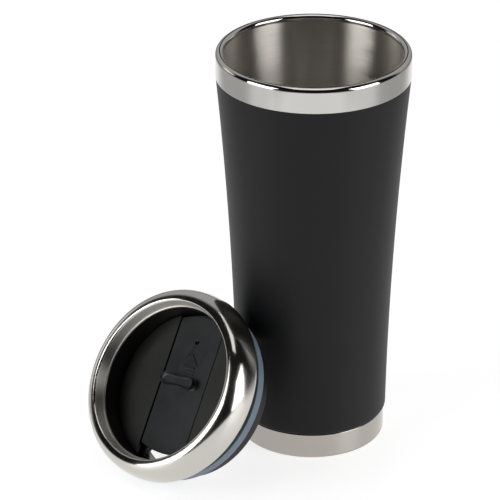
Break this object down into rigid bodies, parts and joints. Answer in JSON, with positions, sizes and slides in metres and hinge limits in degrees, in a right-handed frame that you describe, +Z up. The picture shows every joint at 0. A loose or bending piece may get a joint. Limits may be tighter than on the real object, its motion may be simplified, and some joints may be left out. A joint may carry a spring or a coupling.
{
  "type": "insulated tumbler with lid",
  "caption": "Flared double-wall tumbler, matte black with polished rim and base bands, and its domed press-in slider lid leaning against it.",
  "frame": {"origin": "on the tumbler's axis, at the flat underside of its base, which stands on the table", "axes": "+Z up along the tumbler's axis; the lid leans at the -X -Y side, so -Y faces the viewer"},
  "size_m": [0.1345, 0.1173, 0.175],
  "materials": {
    "polished_steel": "mirror-polished stainless steel",
    "base_steel": "polished stainless steel, slightly soft",
    "brushed_steel": "stainless steel brushed round the cup",
    "black_coat": "matte black powder coat",
    "plain_steel": "plain stainless steel",
    "copper_foil": "copper foil",
    "getter_alloy": "pressed grey tablet",
    "seal_glass": "fused bead",
    "black_plastic": "black moulded plastic",
    "deck_plastic": "black plastic, fine satin",
    "slider_plastic": "black plastic, satin",
    "seal_silicone": "grey silicone",
    "gasket_silicone": "blue-grey silicone"
  },
  "bodies": {
    "tumbler": {"inner_liner": "brushed_steel", "rim_band": "polished_steel", "outer_shell": "black_coat", "heat_shield": "copper_foil", "shell_bottom": "plain_steel", "getter": "getter_alloy", "seal_bead": "seal_glass", "base_cup": "base_steel"},
    "lid": {"trim_ring": "polished_steel", "lid_body": "black_plastic", "deck_left": "deck_plastic", "deck_right": "deck_plastic", "lid_gasket": "gasket_silicone"},
    "slider": {"slider": "slider_plastic", "slider_seal": "seal_silicone"}
  },
  "joints": [
    {"name": "lid_lift", "type": "slide", "parent": "tumbler", "child": "lid", "axis": [-0.5774, -0.5549, 0.5989], "range_m": [0, 0.1]},
    {"name": "slider_slide", "type": "slide", "parent": "lid", "child": "slider", "axis": [0.3049, 0.5339, 0.7887], "range_m": [-0.0048, 0.0008]}
  ]
}
